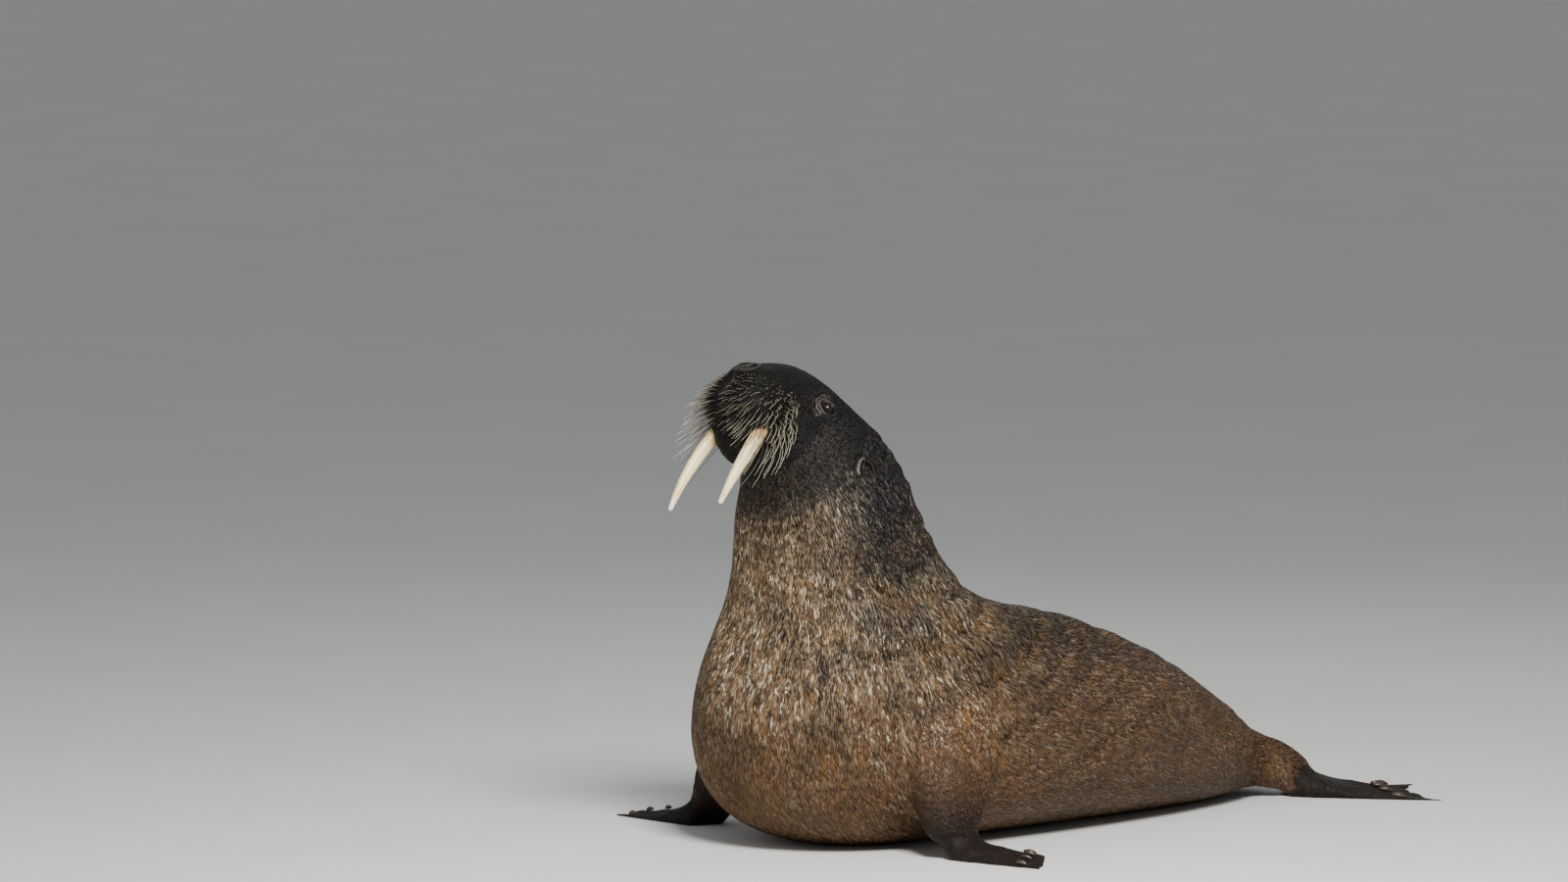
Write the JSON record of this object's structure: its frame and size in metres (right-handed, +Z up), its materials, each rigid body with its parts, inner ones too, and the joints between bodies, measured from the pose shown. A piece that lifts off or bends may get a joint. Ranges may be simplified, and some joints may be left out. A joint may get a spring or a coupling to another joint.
{
  "type": "walrus",
  "caption": "Adult walrus sitting up on its fore flippers, neck stretched and muzzle raised, with tusks, whiskered lip pads and spread hind flippers.",
  "frame": {"origin": "centre of the bounding box in X and Y, on the floor plane that the belly, hands and feet rest on", "axes": "+Z up, -Y the way the walrus faces, +X its left side"},
  "size_m": [1.4542, 2.3322, 1.1953],
  "materials": {
    "skin": "wet, coarse, wrinkled hide with a short coat",
    "face_skin": "wet, dark hide with stiff pale whiskers",
    "flipper_skin": "bare, rough, dark skin",
    "ivory": "worn, satin ivory with fine cracks",
    "eye": "glossy wet",
    "claw": "dull horn"
  },
  "bodies": {
    "root": {"tail": "skin", "hindquarters": "skin", "belly": "skin", "chest": "skin", "neck": "skin", "head": "face_skin", "lip_pad_left": "face_skin", "tusk_left": "ivory", "eye_left": "eye", "lip_pad_right": "face_skin", "tusk_right": "ivory", "eye_right": "eye", "lower_jaw": "face_skin", "fore_flipper_left": "flipper_skin", "fore_flipper_right": "flipper_skin", "hind_flipper_left": "flipper_skin", "hind_flipper_right": "flipper_skin", "claw_fore_left_1": "claw", "claw_fore_left_2": "claw", "claw_fore_left_3": "claw", "claw_fore_left_4": "claw", "claw_fore_left_5": "claw", "claw_fore_right_1": "claw", "claw_fore_right_2": "claw", "claw_fore_right_3": "claw", "claw_fore_right_4": "claw", "claw_fore_right_5": "claw", "claw_hind_left_1": "claw", "claw_hind_left_2": "claw", "claw_hind_left_3": "claw", "claw_hind_left_4": "claw", "claw_hind_left_5": "claw", "claw_hind_right_1": "claw", "claw_hind_right_2": "claw", "claw_hind_right_3": "claw", "claw_hind_right_4": "claw", "claw_hind_right_5": "claw"}
  },
  "joints": []
}
